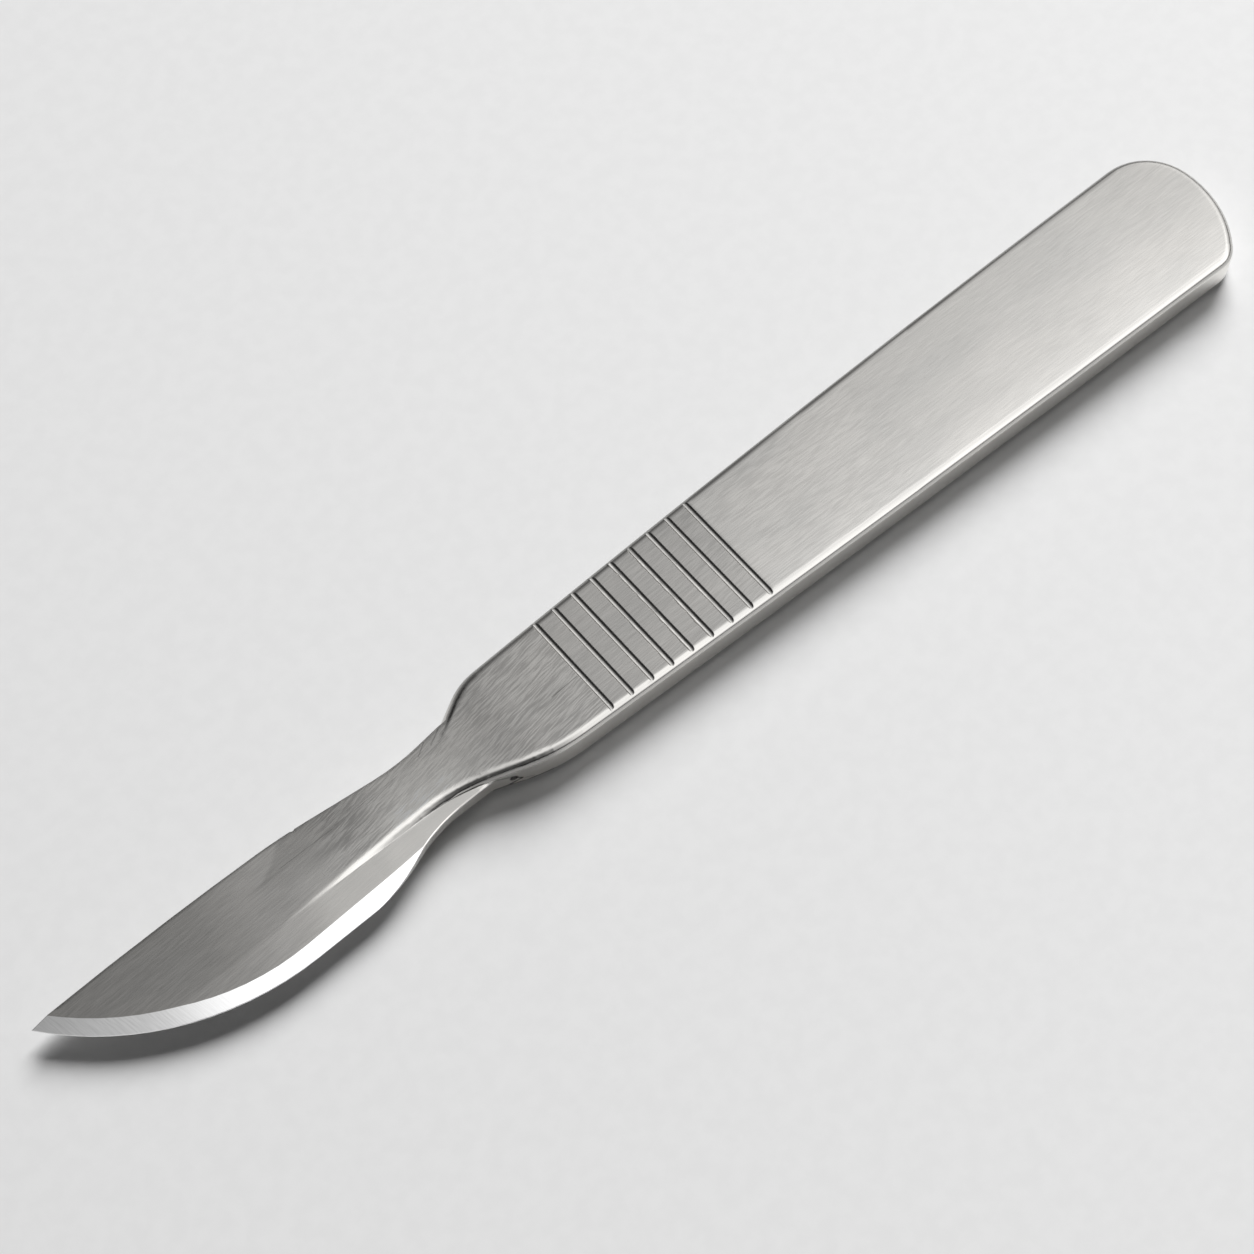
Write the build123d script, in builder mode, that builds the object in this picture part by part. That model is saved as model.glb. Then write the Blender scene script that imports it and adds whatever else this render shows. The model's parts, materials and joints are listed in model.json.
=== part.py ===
from build123d import *
from math import cos, radians, sin, sqrt, tan
import os

# A dissecting scalpel, forged and ground in one piece from a stainless steel bar.
# X runs from the tip to the butt, the cutting edge faces -Y and Z is up. The origin is under
# the middle of the length, on the surface that the handle lies on. Both faces are alike, so
# the half above the middle plane is modelled and then mirrored.

# Sizes in millimetres and degrees. "From tip" is a distance along X from the point.
overall_length = 150.0

# Handle
handle_thickness = 4.5
butt_width = 16.6
shoulder_width = 12.5
spine_bow = 0.55
edge_bow = 0.25
crown_radius = 12.0
crown_offset = 0.9
crown_spine_corner = 6.5
crown_edge_corner = 3.4
edge_round = 0.95
shoulder_round = 8.0

# Grip grooves
groove_count = 9
groove_pitch = 2.52
first_groove_from_tip = 62.05
groove_radius = 0.38
groove_depth = 0.17

# Shoulders and shank
spine_shoulder_from_tip = 52.3
spine_corner_from_tip = 47.9
spine_corner_y = 3.6
spine_ramp_angle = 29.0
edge_shoulder_from_tip = 54.95
shank_foot_from_tip = 44.9
shank_foot_y = -2.75
shank_side_flare = 2.2
shank_side_bow = 0.25
ramp_round = 22.0
shank_fall_from_tip = 55.0
shank_knee_from_tip = 48.0
run_out_from_tip = 23.0
flank_y = 2.8
flank_angle = 1.2
flank_sink = 0.003
flank_round = 4.0

# Blade
tip_thickness = 1.1
heel_thickness = 1.5
neck_thickness = 2.1
neck_from_tip = 47.0
heel_from_tip = 34.5
heel_y = -6.87
belly_from_tip = 24.8
belly_radius = 31.0
edge_y = -7.12
edge_slant = 1.1
flange_y = -4.08
flange_end_from_tip = 41.55
heel_round = 20.0
flange_round = 17.0
ridge_y = -2.7
facet_angle = 2.6
bevel_angle = 20.0
bevel_reach = 3.2
bevel_run_on = 7.0
spine_crest_from_tip = 15.0
spine_crest_y = 4.88
spine_bend_from_tip = 29.5
spine_bend_y = 4.72
waist_from_tip = 42.4
waist_y = 3.1
spine_round = 60.0
waist_round = 25.0
edge_break = 0.12
nick_from_tip = 30.7
nick_radius = 0.45
nick_rise = 1.8
pit_from_tip = 50.6
pit_radius = 0.28

# Stock that the grinding takes off around the blade, and how far cutters overshoot.
edge_stock = 0.25
overshoot = 5.0

# Values that follow from the sizes above
middle_z = handle_thickness / 2
tip_x = -overall_length / 2
butt_x = overall_length / 2
shoulder_half = shoulder_width / 2
butt_half = butt_width / 2
middle_plane = Plane.XY.offset(middle_z)
run_out_x = tip_x + run_out_from_tip
fall_x = tip_x + shank_fall_from_tip
heel_z = middle_z + heel_thickness / 2
tip_z = middle_z + tip_thickness / 2
neck_z = middle_z + neck_thickness / 2
heel_x = tip_x + heel_from_tip
face_slope = (heel_z - tip_z) / heel_from_tip
run_out_z = tip_z + face_slope * run_out_from_tip
knee_x = tip_x + shank_knee_from_tip
knee_slope = (2 * (handle_thickness - run_out_z) - face_slope * (knee_x - run_out_x)) / (fall_x - run_out_x)
knee_z = handle_thickness - knee_slope * (fall_x - knee_x) / 2
inside_x = fall_x + overshoot
belly_start = Vector(tip_x + belly_from_tip, edge_y, middle_z)
edge_direction = Vector(-cos(radians(edge_slant)), -sin(radians(edge_slant)))
belly_centre = belly_start + Vector(-sin(radians(edge_slant)), cos(radians(edge_slant))) * belly_radius


def corner(sketch, x, y):
    """The corner of a sketch that lies nearest to a place in plan."""
    return sketch.vertices().sort_by_distance((x, y, middle_z))[0]


def belly_y(x):
    """Where the cutting edge's belly stands at a place along the length."""
    return belly_centre.Y - sqrt(belly_radius**2 - (x - belly_centre.X) ** 2)


def crown_x(y):
    """Where the rounded end of the butt stands at a distance y from the handle's middle line."""
    return butt_x - crown_radius + sqrt(crown_radius**2 - (y - crown_offset) ** 2)


def shank_profile(lowered):
    """The line of the shank's face seen from the side, from the handle down to its run-out."""
    fall = TangentArc((fall_x, handle_thickness - lowered), (knee_x, knee_z - lowered), tangent=(-1, 0))
    TangentArc(fall @ 1, (run_out_x, run_out_z - lowered), tangent=fall % 1)


tip_y = belly_y(tip_x)
over_tip_x = tip_x - 2 * edge_stock
edge_start = belly_start - edge_direction * (heel_from_tip - belly_from_tip + bevel_run_on)

# Handle, shoulders and shank: one outline, thinned to the tip and rounded along its edges.
ramp_fall = (spine_shoulder_from_tip - spine_corner_from_tip) * tan(radians(spine_ramp_angle))
flank_start_x = tip_x + spine_corner_from_tip - (spine_corner_y - flank_y) / tan(radians(spine_ramp_angle))
spine_shoulder = (tip_x + spine_shoulder_from_tip, spine_corner_y + ramp_fall)
edge_shoulder = (tip_x + edge_shoulder_from_tip, -shoulder_half)
shank_foot = (tip_x + shank_foot_from_tip, shank_foot_y)
shank_side_y = shank_foot_y - (shank_foot_from_tip - run_out_from_tip) * tan(radians(shank_side_flare))
pit_share = (edge_shoulder_from_tip - pit_from_tip) / (edge_shoulder_from_tip - shank_foot_from_tip)
pit_y = -shoulder_half + pit_share * (shank_foot_y + shoulder_half)
spine_rear = (crown_x(butt_half), butt_half)
edge_rear = (crown_x(-butt_half), -butt_half)

with BuildPart() as handle_half:
    with BuildSketch(middle_plane) as handle_plan:
        with BuildLine():
            SagittaArc(spine_shoulder, spine_rear, spine_bow)
            ThreePointArc(spine_rear, (butt_x, crown_offset), edge_rear)
            SagittaArc(edge_rear, edge_shoulder, edge_bow)
            Line(edge_shoulder, shank_foot)
            shank_side = SagittaArc(shank_foot, (run_out_x, shank_side_y), -shank_side_bow)
            Polyline(
                shank_side @ 1,
                (run_out_x, flank_y),
                (flank_start_x, flank_y),
                spine_shoulder,
            )
        make_face()
        fillet(corner(handle_plan, *spine_rear), crown_spine_corner)
        fillet(corner(handle_plan, *edge_rear), crown_edge_corner)
        fillet(corner(handle_plan, *spine_shoulder), shoulder_round)
        fillet([corner(handle_plan, *edge_shoulder), corner(handle_plan, *shank_foot)], ramp_round)
        fillet(corner(handle_plan, flank_start_x, flank_y), flank_round)
    extrude(amount=handle_thickness / 2)
    with BuildSketch(Plane.XZ) as over_shank:
        with BuildLine():
            shank_profile(0)
            Polyline(
                (run_out_x, run_out_z),
                (run_out_x - overshoot, run_out_z),
                (run_out_x - overshoot, handle_thickness + overshoot),
                (fall_x, handle_thickness + overshoot),
                (fall_x, handle_thickness),
            )
        make_face()
    extrude(amount=butt_width, both=True, mode=Mode.SUBTRACT)
    upper_faces = handle_half.faces().filter_by(lambda face: face.normal_at().Z > 0.9)
    fillet(upper_faces.edges().filter_by(Axis.Y, reverse=True), edge_round)
    groove_places = [
        (tip_x + first_groove_from_tip + place * groove_pitch, handle_thickness)
        for place in range(groove_count)
    ]
    with BuildSketch(Plane.XZ) as groove_section:
        with Locations(*groove_places):
            with Locations((0, groove_radius - groove_depth)):
                Circle(groove_radius)
    extrude(amount=butt_width, both=True, mode=Mode.SUBTRACT)

# What the grinding takes off above the blade: all above the flat of the blade, which thins
# evenly to the tip, and above the facet that leans to the edge. The flank stays standing.
with BuildPart() as ground_away:
    with BuildSketch(Plane.XZ.offset(-ridge_y)) as over_face:
        with BuildLine():
            flat = Line((tip_x - overshoot, tip_z - overshoot * face_slope), (heel_x, heel_z))
            rise = TangentArc(flat @ 1, (tip_x + neck_from_tip, neck_z), tangent=flat % 1)
            Polyline(
                rise @ 1,
                (inside_x, neck_z),
                (inside_x, handle_thickness + overshoot),
                (tip_x - overshoot, handle_thickness + overshoot),
                flat @ 0,
            )
        make_face()
    extrude(amount=butt_width, dir=(0, 1, 0))
    facet_lean = (0, -cos(radians(facet_angle)), -sin(radians(facet_angle)))
    extrude(over_face.sketch, amount=butt_width, dir=facet_lean)
    with BuildSketch(Plane.XZ.offset(edge_round - flank_y)) as under_flank:
        with BuildLine():
            shank_profile(flank_sink)
            Polyline(
                (run_out_x, run_out_z - flank_sink),
                (run_out_x, 0),
                (inside_x + overshoot, 0),
                (inside_x + overshoot, handle_thickness - flank_sink),
                (fall_x, handle_thickness - flank_sink),
            )
        make_face()
    flank_lean = (0, cos(radians(flank_angle)), -sin(radians(flank_angle)))
    extrude(amount=butt_width, dir=flank_lean, mode=Mode.SUBTRACT)

# Blade, neck and flank. The plan has stock left along the cutting edge.
with BuildPart() as blade_half:
    with BuildSketch(middle_plane) as blade_plan:
        with BuildLine():
            belly_stock = Vector(belly_start.X, belly_start.Y - edge_stock)
            crest = ThreePointArc(
                (tip_x, tip_y),
                (tip_x + spine_crest_from_tip, spine_crest_y),
                (tip_x + spine_bend_from_tip, spine_bend_y),
            )
            Polyline(
                crest @ 1,
                (tip_x + waist_from_tip, waist_y),
                (tip_x + spine_corner_from_tip, spine_corner_y),
                (inside_x, spine_corner_y),
                (inside_x, flange_y),
                (tip_x + flange_end_from_tip, flange_y),
                (heel_x, heel_y),
                belly_stock,
            )
            belly = TangentArc(belly_stock, (tip_x - edge_stock, tip_y - edge_stock), tangent=edge_direction)
            Polyline(belly @ 1, crest @ 0 - (crest % 0) * edge_stock, crest @ 0)
        make_face()
        fillet(corner(blade_plan, tip_x + spine_bend_from_tip, spine_bend_y), spine_round)
        fillet(corner(blade_plan, tip_x + waist_from_tip, waist_y), waist_round)
        fillet(corner(blade_plan, tip_x + flange_end_from_tip, flange_y), flange_round)
        fillet(corner(blade_plan, heel_x, heel_y), heel_round)
        with Locations((tip_x + nick_from_tip, waist_y + nick_rise)):
            Circle(nick_radius, mode=Mode.SUBTRACT)
    extrude(amount=handle_thickness / 2)
    add(ground_away.part, mode=Mode.SUBTRACT)
    upper_faces = blade_half.faces().filter_by(lambda face: face.normal_at().Z > 0.9)
    flange_rim = upper_faces.edges().filter_by_position(Axis.Y, heel_y, flange_y)
    fillet(flange_rim.filter_by_position(Axis.X, heel_x, fall_x), edge_break)

# The bevel: a wheel with a leaning face follows the cutting edge past the heel and the tip.
with BuildPart() as bevel_waste:
    with BuildLine() as edge_line:
        straight = Line(edge_start, belly_start)
        TangentArc(belly_start, (over_tip_x, belly_y(over_tip_x), middle_z), tangent=edge_direction)
    section_plane = Plane(straight @ 0, x_dir=(-edge_direction.Y, edge_direction.X), z_dir=edge_direction)
    with BuildSketch(section_plane):
        Polygon(
            (-bevel_reach, bevel_reach * tan(radians(bevel_angle))),
            (overshoot, -overshoot * tan(radians(bevel_angle))),
            (overshoot, handle_thickness),
            (-bevel_reach, handle_thickness),
            align=None,
        )
    sweep(path=edge_line.wire())

with BuildPart() as scalpel:
    add(blade_half.part)
    add(bevel_waste.part, mode=Mode.SUBTRACT)
    add(handle_half.part)
    mirror(about=middle_plane)
    with Locations((tip_x + pit_from_tip, pit_y, middle_z)):
        Sphere(pit_radius, mode=Mode.SUBTRACT)

os.makedirs("parts", exist_ok=True)
scalpel.part.label = "scalpel"
export_step(scalpel.part, "parts/scalpel.step")
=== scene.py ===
"""The looks of a one-piece dissecting scalpel: ground and brushed steel on a pale studio floor."""

from __future__ import annotations

import json
import logging
import math
from dataclasses import dataclass, field
from enum import Enum
from functools import reduce
from operator import add, mul
from typing import Any

import bpy
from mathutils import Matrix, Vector

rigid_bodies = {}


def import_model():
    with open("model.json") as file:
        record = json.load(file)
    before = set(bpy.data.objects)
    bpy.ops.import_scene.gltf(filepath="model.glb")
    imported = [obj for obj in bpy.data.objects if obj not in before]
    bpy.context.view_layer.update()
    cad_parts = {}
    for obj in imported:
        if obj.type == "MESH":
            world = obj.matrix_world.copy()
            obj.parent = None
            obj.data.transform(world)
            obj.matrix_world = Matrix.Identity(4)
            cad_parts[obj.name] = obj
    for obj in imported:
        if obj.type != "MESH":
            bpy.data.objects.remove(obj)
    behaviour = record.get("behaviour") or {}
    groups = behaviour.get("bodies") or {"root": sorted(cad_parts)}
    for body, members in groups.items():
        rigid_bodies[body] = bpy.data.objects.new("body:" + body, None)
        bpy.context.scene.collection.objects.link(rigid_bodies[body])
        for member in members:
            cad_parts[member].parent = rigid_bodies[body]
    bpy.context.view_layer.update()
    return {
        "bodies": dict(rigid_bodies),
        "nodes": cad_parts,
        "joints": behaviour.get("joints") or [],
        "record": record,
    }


log = logging.getLogger("scalpel")

MM = 0.001
Triple = tuple[float, float, float]


class Operation(Enum):
    """What a Math node does with its operands."""

    ADD = "ADD"
    SUBTRACT = "SUBTRACT"
    MULTIPLY = "MULTIPLY"
    DIVIDE = "DIVIDE"
    POWER = "POWER"
    LARGER = "MAXIMUM"
    SMALLER = "MINIMUM"
    WITHOUT_SIGN = "ABSOLUTE"
    ROUND = "ROUND"


class Value:
    """A shader socket that carries a number, with operators that add Math nodes."""

    def __init__(self, graph: Graph, socket: bpy.types.NodeSocket) -> None:
        """Wraps a socket of a graph.

        Args:
            graph: The graph that the socket's node belongs to.
            socket: The output socket that carries the number.
        """
        self.graph = graph
        self.socket = socket

    def __add__(self, other: Value | float) -> Value:
        """The sum of two values."""
        return self.graph.maths(Operation.ADD, self, other)

    __radd__ = __add__

    def __sub__(self, other: Value | float) -> Value:
        """The difference of two values."""
        return self.graph.maths(Operation.SUBTRACT, self, other)

    def __rsub__(self, other: float) -> Value:
        """A number less this value."""
        return self.graph.maths(Operation.SUBTRACT, other, self)

    def __mul__(self, other: Value | float) -> Value:
        """The product of two values."""
        return self.graph.maths(Operation.MULTIPLY, self, other)

    __rmul__ = __mul__

    def __truediv__(self, other: Value | float) -> Value:
        """The quotient of two values."""
        return self.graph.maths(Operation.DIVIDE, self, other)

    def __abs__(self) -> Value:
        """The value without its sign."""
        return self.graph.maths(Operation.WITHOUT_SIGN, self)

    def power(self, exponent: float) -> Value:
        """The value raised to a power."""
        return self.graph.maths(Operation.POWER, self, exponent)

    def at_least(self, floor: Value | float) -> Value:
        """The larger of the value and a limit."""
        return self.graph.maths(Operation.LARGER, self, floor)

    def at_most(self, ceiling: Value | float) -> Value:
        """The smaller of the value and a limit."""
        return self.graph.maths(Operation.SMALLER, self, ceiling)

    def rounded(self) -> Value:
        """The nearest whole number."""
        return self.graph.maths(Operation.ROUND, self)

    def step(self, start: float, end: float) -> Value:
        """A smooth change from 0 at start to 1 at end.

        Args:
            start: Where the change begins.
            end: Where the change is complete. It may lie below start.

        Returns:
            The eased value, held between 0 and 1.
        """
        falling = end < start
        low, high = (end, start) if falling else (start, end)
        made = self.graph.node(
            "ShaderNodeMapRange",
            {"interpolation_type": "SMOOTHSTEP"},
            {
                "Value": self,
                "From Min": low,
                "From Max": high,
                "To Min": float(falling),
                "To Max": float(not falling),
            },
        )
        return Value(self.graph, made.outputs["Result"])


class Graph:
    """The node tree of a material or a world, built up node by node."""

    def __init__(self, tree: bpy.types.NodeTree) -> None:
        """Starts from an empty tree.

        Args:
            tree: The tree to fill. Its nodes are removed.
        """
        self.tree = tree
        tree.nodes.clear()

    def node(self, kind: str, settings: dict[str, Any], inputs: dict[Any, Any]) -> bpy.types.Node:
        """Adds a node.

        Args:
            kind: Blender's type name of the node.
            settings: Properties of the node, set before its sockets.
            inputs: Socket names or numbers, each with a constant, a Value or an output socket to link.

        Returns:
            The new node.
        """
        made = self.tree.nodes.new(kind)
        for name, setting in settings.items():
            setattr(made, name, setting)
        for key, given in inputs.items():
            given = given.socket if isinstance(given, Value) else given
            if isinstance(given, bpy.types.NodeSocket):
                self.tree.links.new(given, made.inputs[key])
            else:
                made.inputs[key].default_value = given
        return made

    def maths(self, operation: Operation, *operands: Value | float) -> Value:
        """Adds a Math node.

        Args:
            operation: What the node does.
            operands: What it does it with, in the node's order.

        Returns:
            The node's result.
        """
        made = self.node("ShaderNodeMath", {"operation": operation.value}, dict(enumerate(operands)))
        return Value(self, made.outputs[0])

    def value(self, node: bpy.types.Node, output: int | str) -> Value:
        """One output of a node as a Value."""
        return Value(self, node.outputs[output])

    def combine(self, x: Value | float, y: Value | float, z: Value | float) -> bpy.types.NodeSocket:
        """A vector of three numbers."""
        return self.node("ShaderNodeCombineXYZ", {}, {0: x, 1: y, 2: z}).outputs[0]

    def split(self, vector: bpy.types.NodeSocket) -> tuple[Value, Value, Value]:
        """The three numbers of a vector."""
        made = self.node("ShaderNodeSeparateXYZ", {}, {0: vector})
        return self.value(made, 0), self.value(made, 1), self.value(made, 2)

    def noise(
        self, place: bpy.types.NodeSocket, detail: float, roughness: float = 0.5, scale: float = 1.0
    ) -> Value:
        """A noise texture's value.

        Args:
            place: Where the noise is read.
            detail: Octaves of finer noise.
            roughness: How strong the finer octaves are.
            scale: Cells for each unit of place.

        Returns:
            The noise, from about 0 to 1.
        """
        made = self.node(
            "ShaderNodeTexNoise",
            {},
            {"Vector": place, "Scale": scale, "Detail": detail, "Roughness": roughness},
        )
        return self.value(made, "Fac")

    def mix(self, share: Value | float, start: Any, end: Any) -> bpy.types.NodeSocket:
        """A colour between two colours.

        Args:
            share: 0 for the first colour and 1 for the second.
            start: The first colour, as three numbers or a socket.
            end: The second colour.

        Returns:
            The mixed colour's socket.
        """
        inputs = {0: share, 6: opaque(start), 7: opaque(end)}
        return self.node("ShaderNodeMix", {"data_type": "RGBA"}, inputs).outputs[2]

    def blend(
        self, share: Value, start: bpy.types.NodeSocket, end: bpy.types.NodeSocket
    ) -> bpy.types.NodeSocket:
        """A vector between two vectors."""
        made = self.node("ShaderNodeMix", {"data_type": "VECTOR"}, {0: share, 4: start, 5: end})
        return made.outputs[1]

    def scale(self, colour: Any, factor: Value) -> bpy.types.NodeSocket:
        """A colour, as three numbers or a socket, multiplied by a number."""
        inputs = {0: colour, "Scale": factor}
        return self.node("ShaderNodeVectorMath", {"operation": "SCALE"}, inputs).outputs[0]

    def softened(self, radius: float, samples: int) -> bpy.types.NodeSocket:
        """The surface's normal with its sharp edges broken.

        Args:
            radius: How far the rounding reaches from an edge, in metres.
            samples: How many rays look for edges.

        Returns:
            The rounded normal's socket.
        """
        return self.node("ShaderNodeBevel", {"samples": samples}, {"Radius": radius}).outputs[0]

    def bump(self, height: Value, depth: float, normal: bpy.types.NodeSocket) -> bpy.types.NodeSocket:
        """A normal bent by a height field.

        Args:
            height: The height, where 1 stands for the whole depth.
            depth: What a height of 1 is worth, in metres.
            normal: The normal to start from.

        Returns:
            The bent normal's socket.
        """
        inputs = {"Strength": 1.0, "Distance": depth, "Height": height, "Normal": normal}
        return self.node("ShaderNodeBump", {}, inputs).outputs[0]


def opaque(colour: Any) -> Any:
    """A colour of three numbers with a full alpha, or the socket as it is."""
    return (*colour, 1.0) if isinstance(colour, tuple) else colour


def distance(*offsets: Value) -> Value:
    """How far apart two places lie, from their offsets along each axis."""
    return reduce(add, (offset * offset for offset in offsets)).power(0.5)


@dataclass(frozen=True)
class Fade:
    """A smooth change along an axis: nothing at start, full at end."""

    start: float
    end: float

    def mask(self, place: Value) -> Value:
        """The change's strength at a place."""
        return place.step(self.start, self.end)


@dataclass(frozen=True)
class Stretch:
    """A stretch of an axis: full within half of the middle, fading out over edge beyond that."""

    middle: float
    half: float
    edge: float

    def mask(self, place: Value) -> Value:
        """The stretch's strength at a place."""
        return abs(place - self.middle).step(self.half + self.edge, self.half)


@dataclass(frozen=True)
class Spot:
    """The place being shaded, in millimetres, and which way the steel faces there.

    Args:
        x: The place along the scalpel, from the tip to the butt.
        y: The place across it. The cutting edge is on the negative side.
        z: The height.
        aside: How far the surface faces +Y, from -1 to 1.
        up: How far the surface faces up or down, from 0 to 1.
    """

    x: Value
    y: Value
    z: Value
    aside: Value
    up: Value


@dataclass(frozen=True)
class Zone:
    """A part of the surface, bounded by any of its place along, its place across and its facing.

    Args:
        along: Its limits in X, in millimetres.
        across: Its limits in Y.
        facing: Its limits in how far the surface faces up.
        aside: Its limits in how far the surface faces +Y.
        strength: What the mask is worth where all the limits are met.
    """

    along: tuple[Fade | Stretch, ...] = ()
    across: tuple[Fade | Stretch, ...] = ()
    facing: tuple[Fade | Stretch, ...] = ()
    aside: tuple[Fade | Stretch, ...] = ()
    strength: float = 1.0

    def mask(self, spot: Spot) -> Value:
        """The zone's strength at a spot.

        Args:
            spot: The place being shaded.

        Returns:
            The product of all the zone's limits and its strength.
        """
        limits = [limit.mask(spot.x) for limit in self.along]
        limits += [limit.mask(spot.y) for limit in self.across]
        limits += [limit.mask(spot.up) for limit in self.facing]
        limits += [limit.mask(spot.aside) for limit in self.aside]
        return reduce(mul, limits) * self.strength


@dataclass(frozen=True)
class Scratch:
    """A single longer mark, straight, in millimetres: a scratch in the steel or a line of painted shade.

    Args:
        start: One end, as two coordinates of the surface that it lies on.
        end: The other end.
        width: Half the width of the mark.
        shade: How much darker the mark is than the steel around it.
    """

    start: tuple[float, float]
    end: tuple[float, float]
    width: float
    shade: float

    def mask(self, first: Value, second: Value) -> Value:
        """How much the mark darkens a place.

        Args:
            first: The place's first coordinate.
            second: The place's second coordinate.

        Returns:
            The shade on the mark's middle line, easing to 0 beside it.
        """
        run, rise = self.end[0] - self.start[0], self.end[1] - self.start[1]
        from_start, from_side = first - self.start[0], second - self.start[1]
        share = (from_start * run + from_side * rise) / (run * run + rise * rise)
        share = share.at_least(0.0).at_most(1.0)
        off = distance(from_start - share * run, from_side - share * rise)
        return off.step(self.width, 0.0) * self.shade


def darkening(marks: tuple[Scratch, ...], first: Value, second: Value) -> Value:
    """The summed darkening of several marks at a place."""
    return reduce(add, (mark.mask(first, second) for mark in marks))


@dataclass(frozen=True)
class Grain:
    """A noise that may be drawn out along the scalpel.

    Args:
        along: Cells for each millimetre of length.
        across: Cells for each millimetre of width and height.
        detail: Octaves of finer noise.
        roughness: How strong the finer octaves are.
    """

    along: float
    across: float
    detail: float
    roughness: float = 0.5

    def height(self, graph: Graph, x: Value, y: Value, z: Value) -> Value:
        """The noise at a place.

        Args:
            graph: The material's graph.
            x: The place along the scalpel.
            y: The place across it.
            z: The height.

        Returns:
            The noise, from about 0 to 1.
        """
        place = graph.combine(x * self.along, y * self.across, z * self.across)
        return graph.noise(place, self.detail, self.roughness)


@dataclass(frozen=True)
class Brushing:
    """Brush strokes of one kind.

    Args:
        grain: The strokes' length and spacing.
        lean: How far a stroke climbs across for each millimetre along.
        waver: How far the strokes waver across, in millimetres.
        lean_end: Where along the scalpel the lean stops and the strokes run level.
    """

    grain: Grain
    lean: float
    waver: float
    lean_end: float = 7.5

    def height(self, graph: Graph, spot: Spot, wander: Value) -> Value:
        """The strokes at a spot.

        Args:
            graph: The material's graph.
            spot: The place being shaded.
            wander: A slow noise about 0 that the strokes follow.

        Returns:
            The strokes' height, from about 0 to 1.
        """
        leaning = spot.y + spot.x.at_most(self.lean_end) * self.lean + wander * self.waver
        return self.grain.height(graph, spot.x, leaning, spot.z)


@dataclass(frozen=True)
class GrooveLips:
    """Fine painted lines beside the grip's grooves, in millimetres: painted shade tipward, a painted
    highlight behind.

    Args:
        first_x: The middle of the first groove.
        pitch: How far apart the grooves are.
        numbers: The grooves' numbers, counted from 0 at the first.
        reach: How far across the handle the lines run.
        dark_line: The dark line's place, from the middle of its groove.
        dark_skirt: The fainter dark line inside it.
        light_line: The light line's place.
        dark: How much darker the dark line is than the steel around it.
        skirt: How much darker the fainter line is.
        light: How much lighter the light line is.
        wave: How the lines waver from groove to groove and across the handle.
        waver: How far every line wavers.
        worn: The grooves in the middle that are worn most.
        worn_waver: How much further their lines waver.
        level: The surfaces that hold the lines: those that face up.
    """

    first_x: float = -12.95
    pitch: float = 2.52
    numbers: Stretch = Stretch(4.0, 4.4, 0.2)
    reach: Stretch = Stretch(0.3, 6.2, 0.3)
    dark_line: Stretch = Stretch(-0.24, 0.035, 0.04)
    dark_skirt: Stretch = Stretch(-0.15, 0.02, 0.04)
    light_line: Stretch = Stretch(0.07, 0.06, 0.06)
    dark: float = 0.55
    skirt: float = 0.15
    light: float = 0.45
    wave: Grain = Grain(7.3, 0.9, 1.0)
    waver: float = 0.1
    worn: Stretch = Stretch(4.5, 1.0, 1.0)
    worn_waver: float = 0.3
    level: Zone = Zone(facing=(Fade(0.3, 0.6),))

    def mask(self, graph: Graph, spot: Spot) -> Value:
        """How much painted shade lies beside the grooves.

        Args:
            graph: The material's graph.
            spot: The place being shaded.

        Returns:
            The painted shade, below 0 on the painted highlight lines.
        """
        turn = (spot.x - self.first_x) / self.pitch
        groove = turn.rounded()
        place = graph.combine(groove * self.wave.along, spot.y * self.wave.across, 0.0)
        wave = graph.noise(place, self.wave.detail, self.wave.roughness) - 0.5
        off = (turn - groove) * self.pitch + wave * (self.waver + self.worn.mask(groove) * self.worn_waver)
        lines = self.dark_line.mask(off) * self.dark + self.dark_skirt.mask(off) * self.skirt
        lines = lines - self.light_line.mask(off) * self.light
        return lines * self.numbers.mask(groove) * self.reach.mask(spot.y) * self.level.mask(spot)


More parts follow.
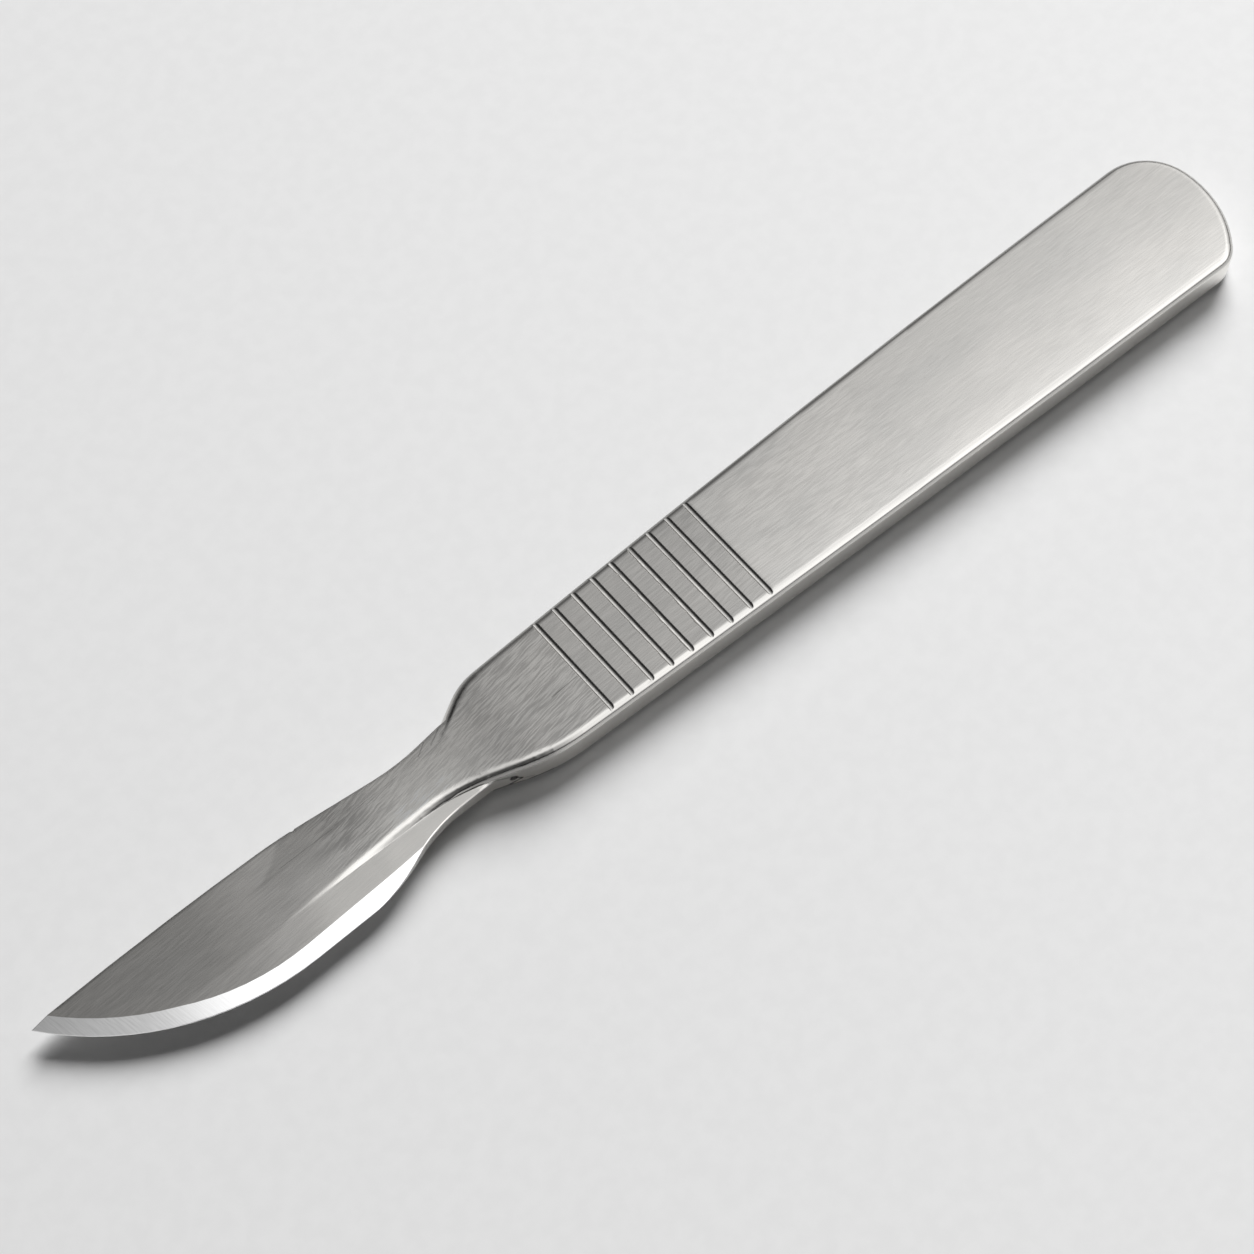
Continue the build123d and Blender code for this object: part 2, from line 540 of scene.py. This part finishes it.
@dataclass(frozen=True)
class GroundSteel:
    """Stainless steel, brushed along its length, polished on its roundings and ground bright at the bevel.

    Each shade is painted shade: how much darker a zone is painted, so a zone painted lighter has a
    strength below 0. Each glow is painted light: how much lighter a zone is painted.
    """

    # Colours and roughness
    colour: Triple = (0.66, 0.645, 0.62)
    worn_colour: Triple = (0.6, 0.59, 0.57)
    ground_colour: Triple = (0.95, 0.95, 0.95)
    clouds: Grain = Grain(0.06, 0.2, 3.0)
    cloud_edge: Fade = Fade(0.3, 0.7)
    cloud_roughness: float = 0.06
    brushed_roughness: float = 0.26
    polished_roughness: float = 0.13
    bevel_polish: float = 0.08
    rough_wall: Zone = Zone(facing=(Fade(0.3, 0.1),), strength=0.2)
    flat: Zone = Zone(facing=(Fade(0.965, 0.99),))

    # Brush strokes: coarse and leaning on the shoulders, fine and straighter elsewhere
    wander: Grain = Grain(0.5, 0.9, 1.5)
    coarse: Brushing = Brushing(Grain(0.4, 5.6, 2.0, 0.6), lean=-0.15, waver=0.3)
    coarse_edge: Fade = Fade(0.35, 0.65)
    fine: Brushing = Brushing(Grain(0.4, 6.5, 2.5, 0.65), lean=-0.045, waver=0.2)
    shoulders: Zone = Zone(along=(Fade(-46.0, -40.0), Fade(-12.2, -13.2)))
    handle_root: Zone = Zone(along=(Stretch(18.0, 6.0, 16.0),))
    root_coarseness: float = 0.4
    plate: Zone = Zone(along=(Fade(-27.0, -29.0), Fade(-54.0, -42.0)), across=(Fade(-2.5, -3.0),))
    stroke_depth: float = 0.004 * MM
    walls_share: float = 0.08

    # How strongly the strokes show
    even_contrast: float = 0.34
    root_contrast: float = 0.04
    plate_contrast: float = -0.22
    forward_contrast: Zone = Zone(along=(Fade(8.5, 7.0),), strength=0.12)
    shoulder_contrast: Zone = Zone(along=(Fade(-46.0, -28.0), Fade(-12.2, -13.2)), strength=-0.17)

    # Painted shade and painted light on the flats: darker and lighter zones, and painted shade that grows
    # towards the spine
    grip_shade: Zone = Zone(along=(Fade(-20.2, -13.2), Fade(7.9, 7.5)), strength=0.2)
    tip_shade: Zone = Zone(along=(Fade(-50.0, -58.0),), strength=0.2)
    blade_shade: Zone = Zone(along=(Fade(-36.0, -42.0),), strength=0.05)
    neck_shade: Zone = Zone(along=(Stretch(-31.5, 2.5, 6.5),), strength=-0.36)
    shoulder_shade: Zone = Zone(along=(Stretch(-20.5, 1.5, 5.0),), strength=0.2)
    shank_shade: Zone = Zone(
        along=(Stretch(-38.0, 7.0, 5.0),), across=(Fade(0.6, -0.8),), strength=-0.22
    )
    butt_shade: Zone = Zone(along=(Fade(60.0, 68.0),), strength=0.05)
    edge_side_shade: Zone = Zone(
        along=(Fade(7.5, 11.5),), across=(Fade(-3.5, -6.8),), strength=-0.09
    )
    plate_root_shade: Zone = Zone(
        along=(Fade(-27.0, -29.0), Stretch(-33.0, 2.0, 4.0)), across=(Fade(-2.5, -3.0),), strength=0.25
    )
    shade_per_mm: float = 0.005
    handle_shade_per_mm: Zone = Zone(along=(Fade(-2.5, 7.5),), strength=0.013)

    # Painted light on the walls, a painted highlight on the shank's flank and the flange's rim, and a
    # painted highlight line at the wall's foot
    wall: Zone = Zone(facing=(Fade(0.5, 0.2),))
    wall_glow: float = 0.35
    foot_line: Stretch = Stretch(0.85, 0.08, 0.12)
    foot_glow: float = 0.35
    flank: Zone = Zone(
        along=(Stretch(-43.5, 11.5, 4.0),),
        across=(Fade(1.0, 0.0),),
        facing=(Fade(0.8, 0.87), Fade(0.99, 0.97)),
        strength=0.35,
    )
    rim: Zone = Zone(
        along=(Stretch(-36.0, 4.0, 2.0),),
        across=(Fade(-3.4, -3.7),),
        facing=(Fade(0.2, 0.4), Fade(0.985, 0.96)),
    )
    rim_glow: float = 0.45

    # Painted shade on the roundings, and painted shade in the crease where the shoulder falls away
    spine_rounding: Zone = Zone(along=(Fade(-26.0, -22.0),), aside=(Fade(0.05, 0.5),), strength=0.5)
    edge_rounding: Zone = Zone(facing=(Stretch(0.4, 0.1, 0.25),), aside=(Fade(0.0, -0.3),), strength=0.2)
    crease: Zone = Zone(
        along=(Stretch(-24.5, 3.5, 2.5),),
        across=(Fade(-3.0, -3.4),),
        facing=(Stretch(0.35, 0.15, 0.12),),
        strength=0.4,
    )

    # Softened edges: everywhere but on the grip, the bevel and the flange
    crisp_edge: float = 0.1 * MM
    crisp_samples: int = 4
    soft_edge: float = 0.45 * MM
    soft_samples: int = 6
    belly_centre: tuple[float, float] = (-50.8, 23.87)
    inside_belly: Fade = Fade(28.9, 28.4)
    crisp_grip: Zone = Zone(along=(Fade(-14.2, -13.7), Fade(8.2, 7.9)), across=(Fade(-5.4, -5.0),))
    crisp_flange: Zone = Zone(along=(Stretch(-36.0, 8.0, 1.5),), across=(Fade(-2.3, -2.8),))

    # The ground bevel: leaning faces along the cutting edge, from the heel to the tip
    bevel: Zone = Zone(along=(Fade(-33.5, -34.0),), facing=(Stretch(0.9397, 0.014, 0.01),))
    bevel_on_belly: Fade = Fade(-51.5, -52.0)
    bevel_on_straight: Fade = Fade(-4.2, -4.4)
    grind_across: float = 6.0
    grind_slant: float = 1.5
    grind_along: float = 0.5
    grind_detail: float = 2.0
    grind_contrast: float = 0.12
    tip_grind: Zone = Zone(along=(Fade(-56.0, -70.0),), strength=0.25)

    # Wear: specks and scratches on the top (X and Y). Painted shade: folds in the shoulder's wall (X and Z)
    # by its pit, and the pit
    specks: Grain = Grain(2.2, 3.5, 1.0)
    speck_edge: Fade = Fade(0.72, 0.8)
    speck_shade: float = 0.12
    scratches: tuple[Scratch, ...] = (
        Scratch((-27.3, 3.36), (-28.8, 2.58), 0.12, 0.45),
        Scratch((-29.2, 3.23), (-30.5, 2.42), 0.1, 0.4),
        Scratch((-33.2, 2.23), (-40.9, 2.23), 0.06, 0.3),
        Scratch((-41.4, 2.11), (-47.6, 2.19), 0.06, 0.3),
        Scratch((-16.7, -1.26), (-13.4, -1.1), 0.09, 0.35),
    )
    painted_fold_shade: tuple[Scratch, ...] = (
        Scratch((-24.55, 2.6), (-23.65, 1.7), 0.24, 1.0),
        Scratch((-23.65, 1.7), (-24.75, 1.15), 0.24, 0.95),
        Scratch((-24.6, 2.65), (-26.1, 3.15), 0.28, 0.5),
        Scratch((-24.75, 1.15), (-26.3, 0.9), 0.28, 0.7),
        Scratch((-23.3, 1.5), (-22.5, 1.25), 0.2, 0.4),
    )
    fold_side: Fade = Fade(-3.5, -3.9)
    pit: Triple = (-24.4, -4.73, 2.25)
    pit_edge: Fade = Fade(0.55, 0.32)
    pit_shade: float = 0.9
    lips: GrooveLips = GrooveLips()

    def material(self) -> bpy.types.Material:
        """Builds the finish.

        Returns:
            The node material.
        """
        made = bpy.data.materials.new("ground_steel")
        made.use_nodes = True
        graph = Graph(made.node_tree)
        spot = self._spot(graph)
        flat = self.flat.mask(spot)
        bevel = self._bevel(spot)
        strokes = self._strokes(graph, spot)
        contrast = self._contrast(spot)
        marks = darkening(self.scratches, spot.x, spot.y)
        specks = self.speck_edge.mask(self.specks.height(graph, spot.x, spot.y, spot.z))
        clouds = self.clouds.height(graph, spot.x, spot.y, spot.z)

        # The tone holds the strokes, scratches and specks, and also painted shade and painted highlights:
        # the zones' shades, the sheen, the lines by the grooves, the roundings, the crease and the pit
        tone = 1 + ((strokes - 0.5) * contrast - self._shade(spot) - marks) * flat
        tone = (tone - specks * contrast * self.speck_shade) * (1 - self._painted_pit_shade(spot))
        tone = tone * (1 + self._painted_sheen(spot) - self.lips.mask(graph, spot))
        tone = tone * (1 - self.spine_rounding.mask(spot) - self.edge_rounding.mask(spot))
        tone = tone * (1 - self.crease.mask(spot))
        steel = graph.scale(graph.mix(self.cloud_edge.mask(clouds), self.colour, self.worn_colour), tone)
        ground = graph.scale(self.ground_colour, self._ground_lines(graph, spot))

        rough = self.polished_roughness + flat * (self.brushed_roughness - self.polished_roughness)
        rough = rough + (clouds - 0.5) * self.cloud_roughness - bevel * self.bevel_polish
        height = strokes * (contrast * flat * (1 - bevel) + self.walls_share) - marks
        shader = graph.node(
            "ShaderNodeBsdfPrincipled",
            {},
            {
                "Base Color": graph.mix(bevel, steel, ground),
                "Metallic": 1.0,
                "Roughness": rough + self.rough_wall.mask(spot),
                "Normal": graph.bump(height, self.stroke_depth, self._edges(graph, spot)),
            },
        )
        graph.node("ShaderNodeOutputMaterial", {}, {"Surface": shader.outputs[0]})
        return made

    def _spot(self, graph: Graph) -> Spot:
        """Reads the place being shaded in the object's own coordinates.

        Args:
            graph: The material's graph.

        Returns:
            The place and which way the steel faces there.
        """
        place = graph.node("ShaderNodeTexCoord", {}, {})
        x, y, z = (axis / MM for axis in graph.split(place.outputs["Object"]))
        _, aside, up = graph.split(place.outputs["Normal"])
        return Spot(x, y, z, aside, abs(up))

    def _bevel(self, spot: Spot) -> Value:
        """The mask of the ground bevel: leaning faces on the belly or beside the straight edge."""
        beside_edge = self.bevel_on_belly.mask(spot.x) + self.bevel_on_straight.mask(spot.y)
        return self.bevel.mask(spot) * beside_edge.at_most(1.0)

    def _strokes(self, graph: Graph, spot: Spot) -> Value:
        """The brush strokes, coarse on the shoulders and partly so on the handle beside the grip.

        Args:
            graph: The material's graph.
            spot: The place being shaded.

        Returns:
            The strokes' height, from about 0 to 1.
        """
        wander = self.wander.height(graph, spot.x, spot.y, spot.z) - 0.5
        coarse = self.coarse_edge.mask(self.coarse.height(graph, spot, wander))
        fine = self.fine.height(graph, spot, wander)
        share = self.shoulders.mask(spot) * (1 - self.plate.mask(spot))
        share = share + self.handle_root.mask(spot) * self.root_coarseness
        return coarse * share + fine * (1 - share)

    def _contrast(self, spot: Spot) -> Value:
        """How strongly the strokes show at a spot: most on the grip, least on the plate.

        Args:
            spot: The place being shaded.

        Returns:
            The change of tone from the faintest stroke to the strongest.
        """
        contrast = self.even_contrast + self.forward_contrast.mask(spot) + self.shoulder_contrast.mask(spot)
        contrast = contrast + self.plate.mask(spot) * self.plate_contrast
        return contrast + self.handle_root.mask(spot) * self.root_contrast

    def _shade(self, spot: Spot) -> Value:
        """How much painted shade the flat steel gets at a spot, or painted light where it is below 0.

        Args:
            spot: The place being shaded.

        Returns:
            The share that is taken from the steel's tone.
        """
        zones = (
            self.grip_shade,
            self.tip_shade,
            self.blade_shade,
            self.neck_shade,
            self.shoulder_shade,
            self.shank_shade,
            self.butt_shade,
            self.edge_side_shade,
            self.plate_root_shade,
        )
        shade = reduce(add, (zone.mask(spot) for zone in zones))
        return shade + spot.y * (self.shade_per_mm + self.handle_shade_per_mm.mask(spot))

    def _painted_sheen(self, spot: Spot) -> Value:
        """How much painted light the walls, the shank's flank and the flange's rim get, less the painted
        shade of the folds.

        Args:
            spot: The place being shaded.

        Returns:
            The share that is added to the steel's tone.
        """
        painted_fold_shade = darkening(self.painted_fold_shade, spot.x, spot.z) * self.fold_side.mask(spot.y)
        wall = self.wall_glow + self.foot_line.mask(spot.z) * self.foot_glow - painted_fold_shade
        rim = self.rim.mask(spot)
        return self.wall.mask(spot) * wall + self.flank.mask(spot) * (1 - rim) + rim * self.rim_glow

    def _painted_pit_shade(self, spot: Spot) -> Value:
        """How much painted shade the small pit in the shoulder's wall puts on a spot."""
        offsets = (place - at for place, at in zip((spot.x, spot.y, spot.z), self.pit))
        return self.pit_edge.mask(distance(*offsets)) * self.pit_shade

    def _ground_lines(self, graph: Graph, spot: Spot) -> Value:
        """The fine grinding lines across the bevel, plainest near the tip.

        Args:
            graph: The material's graph.
            spot: The place being shaded.

        Returns:
            The tone that the bevel's colour is multiplied by.
        """
        across = spot.x * self.grind_across + spot.y * self.grind_slant
        lines = graph.noise(graph.combine(across, spot.y * self.grind_along, 0.0), self.grind_detail)
        return 1 + (lines - 0.5) * (self.grind_contrast + self.tip_grind.mask(spot))

    def _edges(self, graph: Graph, spot: Spot) -> bpy.types.NodeSocket:
        """The normal with its edges softened by polishing, and only just broken where they are crisp.

        Args:
            graph: The material's graph.
            spot: The place being shaded.

        Returns:
            The normal's socket.
        """
        beyond = (spot.x - self.belly_centre[0]).at_most(0.0)
        from_centre = distance(beyond, spot.y - self.belly_centre[1])
        soft = self.inside_belly.mask(from_centre)
        soft = soft * (1 - self.crisp_grip.mask(spot)) * (1 - self.crisp_flange.mask(spot))
        crisp_normal = graph.softened(self.crisp_edge, self.crisp_samples)
        soft_normal = graph.softened(self.soft_edge, self.soft_samples)
        return graph.blend(soft, crisp_normal, soft_normal)


@dataclass(frozen=True)
class PaleFloor:
    """The matt, faintly mottled floor, with painted light: a little darker towards the back and to the tip's
    side.
    """

    colour: Triple = (0.80, 0.80, 0.80)
    mottle_colour: Triple = (0.78, 0.78, 0.78)
    mottle_per_metre: float = 500.0
    mottle_detail: float = 3.0
    mottle_edge: Fade = Fade(0.3, 0.7)
    roughness: float = 0.9
    gloss: float = 0.1
    even_reach: float = 0.12
    rise_along: float = 0.3
    fall_across: float = 0.45

    def material(self) -> bpy.types.Material:
        """Builds the finish.

        Returns:
            The node material.
        """
        made = bpy.data.materials.new("pale_floor")
        made.use_nodes = True
        graph = Graph(made.node_tree)
        place = graph.node("ShaderNodeTexCoord", {}, {}).outputs["Object"]
        mottle = self.mottle_edge.mask(graph.noise(place, self.mottle_detail, scale=self.mottle_per_metre))
        x, y, _ = graph.split(place)
        x, y = (axis.at_least(-self.even_reach).at_most(self.even_reach) for axis in (x, y))
        # Painted light: the floor's colour is lighter towards +X and darker towards +Y
        tone = 1 + x * self.rise_along - y * self.fall_across
        shader = graph.node(
            "ShaderNodeBsdfPrincipled",
            {},
            {
                "Base Color": graph.scale(graph.mix(mottle, self.colour, self.mottle_colour), tone),
                "Roughness": self.roughness,
                "Specular IOR Level": self.gloss,
            },
        )
        graph.node("ShaderNodeOutputMaterial", {}, {"Surface": shader.outputs[0]})
        return made


@dataclass(frozen=True)
class MirroredRoom:
    """The room around the floor: even for matt things, with a broad soft light for steel to mirror.

    The fades are over the share of a direction that points along +X (across), +Y (back) or up.
    """

    ambience: float = 0.105
    even_glow: float = 0.27
    middle: float = 0.05
    right_rise: float = 1.75
    left_fall: float = 0.45
    back_level: float = 0.35
    back_fall: float = 0.7

    # A narrow lift in front of the middle, and the big softbox in front on the right
    lift: Stretch = Stretch(-0.06, 0.06, 0.12)
    lift_back: Fade = Fade(0.0, -0.2)
    lift_glow: float = 0.1
    softbox: tuple[Fade, ...] = (Fade(-0.3, 0.06), Fade(0.5, 0.2))
    softbox_back: Fade = Fade(0.26, -0.1)
    softbox_glow: float = 0.42

    # Darker close to the floor, at the back and in the front corner on the left
    above_floor: Fade = Fade(0.1, 0.45)
    floor_share: float = 0.15
    back_wall: Fade = Fade(0.7, 0.95)
    back_dark: float = 0.8
    corner: tuple[Fade, ...] = (Fade(0.4, -0.15), Fade(-0.5, -0.3))
    corner_back: Fade = Fade(-0.32, -0.7)
    corner_dark: float = 0.92
    far_right: Fade = Fade(0.7, 0.9)
    far_right_dark: float = 0.5

    # What the steel mirrors at the least, and the fills that other sides of the scalpel see
    darkest: float = 0.03
    far_side: Fade = Fade(-0.3, -0.5)
    far_side_back: tuple[Fade, ...] = (Fade(0.15, -0.15), Fade(0.5, 0.7))
    far_side_glow: float = 0.4
    front_back: Fade = Fade(0.6, 0.85)
    front_up: Fade = Fade(0.6, 0.35)
    front_glow: float = 0.32

    def world(self) -> bpy.types.World:
        """Builds the room.

        Returns:
            The node world.
        """
        made = bpy.data.worlds.new("studio")
        made.use_nodes = True
        graph = Graph(made.node_tree)
        directions = graph.node("ShaderNodeTexCoord", {}, {}).outputs["Generated"]
        mirrored = graph.value(graph.node("ShaderNodeLightPath", {}, {}), "Is Glossy Ray")
        strength = mirrored * self._glow(*graph.split(directions)) + (1 - mirrored) * self.ambience
        surface = graph.node("ShaderNodeBackground", {}, {"Color": (1, 1, 1, 1), "Strength": strength})
        graph.node("ShaderNodeOutputWorld", {}, {"Surface": surface.outputs[0]})
        return made

    def _glow(self, across: Value, back: Value, up: Value) -> Value:
        """What the steel mirrors in a direction.

        Args:
            across: The share of the direction along +X.
            back: The share along +Y.
            up: The share upwards.

        Returns:
            The room's brightness there.
        """
        aside = across - self.middle
        glow = self.even_glow + aside.at_least(0.0) * self.right_rise + aside.at_most(0.0) * self.left_fall
        glow = glow + (self.back_level - back) * self.back_fall
        glow = glow + self.lift.mask(across) * self.lift_back.mask(back) * self.lift_glow
        softbox = reduce(mul, (fade.mask(across) for fade in self.softbox)) * self.softbox_back.mask(back)
        glow = glow + softbox * self.softbox_glow
        glow = glow * (self.floor_share + (1 - self.floor_share) * self.above_floor.mask(up))
        glow = glow * (1 - self.back_wall.mask(back) * self.back_dark)
        corner = reduce(mul, (fade.mask(across) for fade in self.corner)) * self.corner_back.mask(back)
        glow = glow * (1 - corner * self.corner_dark)
        glow = glow * (1 - self.far_right.mask(across) * self.far_right_dark)
        far_side = reduce(add, (fade.mask(back) for fade in self.far_side_back)) * self.far_side.mask(across)
        front = self.front_back.mask(back) * self.front_up.mask(up)
        fill = far_side * self.far_side_glow + front * self.front_glow
        return glow.at_least(self.darkest).at_least(fill)


@dataclass
class Scalpel:
    """The scalpel's single piece of steel.

    Args:
        node: The name of the piece.
        finish: What it is dressed in.
    """

    frame: dict[str, Any]
    node: str = "scalpel"
    finish: GroundSteel = field(default_factory=GroundSteel)

    def dress(self) -> None:
        """Dresses the steel."""
        steel = self.frame["nodes"][self.node]
        steel.data.materials.clear()
        steel.data.materials.append(self.finish.material())
        log.info("%s dressed, %d faces", steel.name, len(steel.data.polygons))


@dataclass
class Studio:
    """The floor, the light, the room and the camera around the scalpel."""

    azimuth: float = -40.282
    elevation: float = 63.5635
    camera_distance: float = 297.2 * MM
    target: Triple = (-4.73 * MM, 1.53 * MM, 0.0)
    lens: float = 85.0
    clip: tuple[float, float] = (0.01, 20.0)
    floor_half: float = 1.5
    floor_finish: PaleFloor = field(default_factory=PaleFloor)
    key_from: Triple = (0.63, 0.485, 0.63)
    key_distance: float = 2.2
    key_width: float = 1.45
    key_watts: float = 75.0
    room: MirroredRoom = field(default_factory=MirroredRoom)

    def build(self) -> None:
        """Makes everything around the scalpel."""
        self._floor()
        self._key()
        self._room()
        self._camera()

    def _floor(self) -> None:
        """Makes the plain pale floor."""
        side = self.floor_half
        mesh = bpy.data.meshes.new("studio_floor")
        points = [(-side, -side, 0), (side, -side, 0), (side, side, 0), (-side, side, 0)]
        mesh.from_pydata(points, [], [(0, 1, 2, 3)])
        mesh.materials.append(self.floor_finish.material())
        floor = bpy.data.objects.new("studio_floor", mesh)
        bpy.context.scene.collection.objects.link(floor)
        log.info("floor made")

    def _key(self) -> None:
        """Makes the big soft light whose shadow falls on the cutting edge's side."""
        lamp = bpy.data.lights.new("key_softbox", "AREA")
        lamp.shape = "DISK"
        lamp.size = self.key_width
        lamp.energy = self.key_watts
        key = bpy.data.objects.new("key_softbox", lamp)
        away = Vector(self.key_from).normalized()
        key.location = away * self.key_distance
        key.rotation_mode = "QUATERNION"
        key.rotation_quaternion = away.to_track_quat("Z", "Y")
        key.visible_glossy = False
        bpy.context.scene.collection.objects.link(key)
        log.info("key light made")

    def _room(self) -> None:
        """Makes the room that the steel mirrors."""
        bpy.context.scene.world = self.room.world()
        log.info("room made")

    def _camera(self) -> None:
        """Makes the camera at the photograph's angle."""
        around, up = math.radians(self.azimuth), math.radians(self.elevation)
        back = Vector((math.sin(around) * math.cos(up), -math.cos(around) * math.cos(up), math.sin(up)))
        data = bpy.data.cameras.new("camera")
        data.lens = self.lens
        data.clip_start, data.clip_end = self.clip
        camera = bpy.data.objects.new("camera", data)
        camera.location = Vector(self.target) + back * self.camera_distance
        camera.rotation_mode = "QUATERNION"
        camera.rotation_quaternion = back.to_track_quat("Z", "Y")
        scene = bpy.context.scene
        scene.collection.objects.link(camera)
        scene.camera = camera
        scene.view_settings.view_transform = "Standard"
        log.info("camera made")


def main() -> None:
    """Loads the frame, dresses the scalpel and sets the studio around it."""
    logging.basicConfig(level=logging.INFO, format="%(name)s: %(message)s")
    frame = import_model()
    Scalpel(frame).dress()
    Studio().build()


if __name__ == "__main__":
    main()
